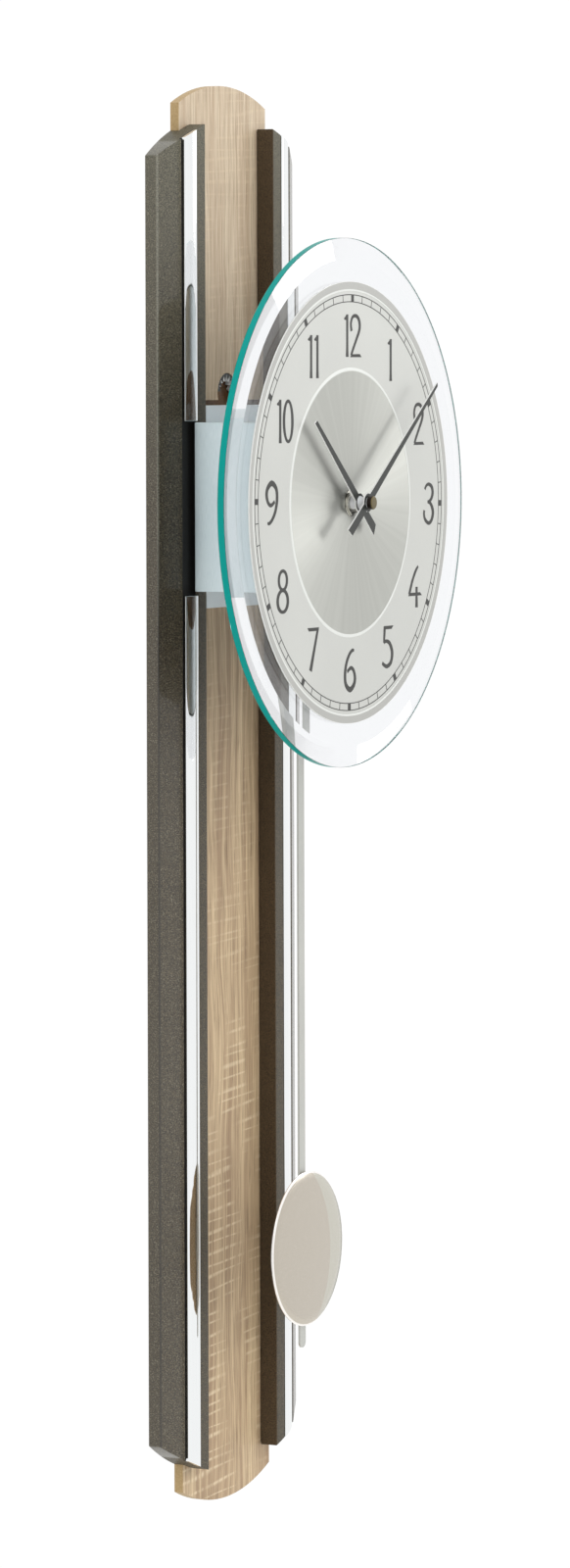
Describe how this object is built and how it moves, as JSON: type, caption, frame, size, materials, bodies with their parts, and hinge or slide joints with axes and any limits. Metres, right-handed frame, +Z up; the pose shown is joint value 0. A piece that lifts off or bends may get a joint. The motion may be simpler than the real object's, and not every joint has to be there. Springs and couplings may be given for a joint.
{
  "type": "pendulum wall clock",
  "caption": "Pendulum wall clock: a round bevelled glass dial stands off a tall wooden board between two dark slats with chrome strips, and a disc pendulum hangs below.",
  "frame": {"origin": "the tooth of the sawtooth hanger that rests on the wall hook, in the wall plane", "axes": "+X to the right seen from the front, +Y towards the wall, +Z up"},
  "size_m": [0.24, 0.0816, 0.6466],
  "materials": {
    "oak_decor": "pale oak decor with vertical grain and saw marks, raw fibreboard edges",
    "anthracite_lacquer": "speckled metallic anthracite lacquer on fibreboard",
    "chrome_strip": "polished",
    "silver_housing": "satin anodised",
    "clear_glass": "polished float glass with a bevelled edge",
    "dial_silver": "satin silver print",
    "dial_brushed": "circular brushed",
    "nickel": "nickel plated",
    "hand_anthracite": "anthracite anodised",
    "white_plastic": "moulded",
    "bronze_cap": "dark bronze",
    "black_plastic": "moulded",
    "copper_wire": "enamelled copper wire",
    "steel": "plain",
    "circuit_board": "solder resist",
    "battery_sleeve": "printed sleeve",
    "pendulum_silver": "satin champagne silver"
  },
  "bodies": {
    "case": {"back_board": "oak_decor", "slat_left": "anthracite_lacquer", "slat_right": "anthracite_lacquer", "chrome_strip_upper_left": "chrome_strip", "chrome_strip_upper_right": "chrome_strip", "chrome_strip_lower_left": "chrome_strip", "chrome_strip_lower_right": "chrome_strip", "mounting_frame": "silver_housing", "housing_shell": "silver_housing", "glass_disc": "clear_glass", "dial_plate": "dial_silver", "dial_centre_disc": "dial_brushed", "fixing_washer": "nickel", "fixing_nut": "nickel", "threaded_bushing": "nickel", "battery_contact_plus": "nickel", "battery_contact_minus": "nickel", "train_bridge": "white_plastic", "movement_front_case": "black_plastic", "movement_rear_case": "black_plastic", "motor_coil": "copper_wire", "pendulum_coil": "copper_wire", "sawtooth_hanger": "steel", "frame_screw_1": "steel", "frame_screw_2": "steel", "frame_screw_3": "steel", "frame_screw_4": "steel", "motor_stator": "steel", "quartz_crystal": "steel", "pivot_pin": "steel", "circuit_board": "circuit_board"},
    "minute_hand": {"minute_hand": "hand_anthracite", "centre_wheel": "white_plastic", "cap_nut": "bronze_cap"},
    "hour_hand": {"hour_hand": "hand_anthracite", "hour_wheel": "white_plastic"},
    "motion_wheel": {"motion_wheel": "white_plastic"},
    "setting_knob": {"setting_knob": "white_plastic"},
    "third_wheel": {"third_wheel": "white_plastic"},
    "seconds_wheel": {"seconds_wheel": "white_plastic"},
    "intermediate_wheel": {"intermediate_wheel": "white_plastic"},
    "motor_rotor": {"motor_rotor": "steel"},
    "pendulum": {"pendulum_hanger": "black_plastic", "pendulum_magnet": "steel", "pendulum_rod": "pendulum_silver", "pendulum_bob": "pendulum_silver", "bob_slide": "pendulum_silver"},
    "battery": {"battery": "battery_sleeve"}
  },
  "joints": [
    {"name": "minute_hand_turn", "type": "hinge", "parent": "case", "child": "minute_hand", "pos_m": [0, -0.0782, -0.054], "axis": [0, 1, 0], "continuous": true},
    {"name": "hour_hand_turn", "type": "hinge", "parent": "case", "child": "hour_hand", "pos_m": [0, -0.074, -0.054], "axis": [0, 1, 0], "continuous": true},
    {"name": "motion_wheel_turn", "type": "hinge", "parent": "case", "child": "motion_wheel", "pos_m": [0.0094, -0.0593, -0.05058], "axis": [0, 1, 0], "continuous": true},
    {"name": "setting_knob_turn", "type": "hinge", "parent": "case", "child": "setting_knob", "pos_m": [0.01846, -0.0453, -0.0548], "axis": [0, 1, 0], "continuous": true},
    {"name": "third_wheel_turn", "type": "hinge", "parent": "case", "child": "third_wheel", "pos_m": [-0.00675, -0.0563, -0.06569], "axis": [0, 1, 0], "continuous": true},
    {"name": "seconds_wheel_turn", "type": "hinge", "parent": "case", "child": "seconds_wheel", "pos_m": [-0.00165, -0.0547, -0.07452], "axis": [0, 1, 0], "continuous": true},
    {"name": "intermediate_wheel_turn", "type": "hinge", "parent": "case", "child": "intermediate_wheel", "pos_m": [0.00821, -0.0535, -0.07537], "axis": [0, 1, 0], "continuous": true},
    {"name": "motor_rotor_turn", "type": "hinge", "parent": "case", "child": "motor_rotor", "pos_m": [0.01611, -0.0535, -0.0725], "axis": [0, 1, 0], "continuous": true},
    {"name": "pendulum_swing", "type": "hinge", "parent": "case", "child": "pendulum", "pos_m": [0, -0.0443, -0.068], "axis": [0, 1, 0], "range_deg": [-5, 5]},
    {"name": "battery_removal", "type": "slide", "parent": "case", "child": "battery", "axis": [0, 1, 0], "range_m": [0, 0.07]}
  ],
  "couplings": [
    {"joint": "hour_hand_turn", "follows": "minute_hand_turn", "ratio": 0.083333},
    {"joint": "motion_wheel_turn", "follows": "minute_hand_turn", "ratio": -0.33333},
    {"joint": "setting_knob_turn", "follows": "minute_hand_turn", "ratio": 1},
    {"joint": "third_wheel_turn", "follows": "minute_hand_turn", "ratio": -8},
    {"joint": "seconds_wheel_turn", "follows": "minute_hand_turn", "ratio": 60},
    {"joint": "motor_rotor_turn", "follows": "intermediate_wheel_turn", "ratio": -6}
  ]
}
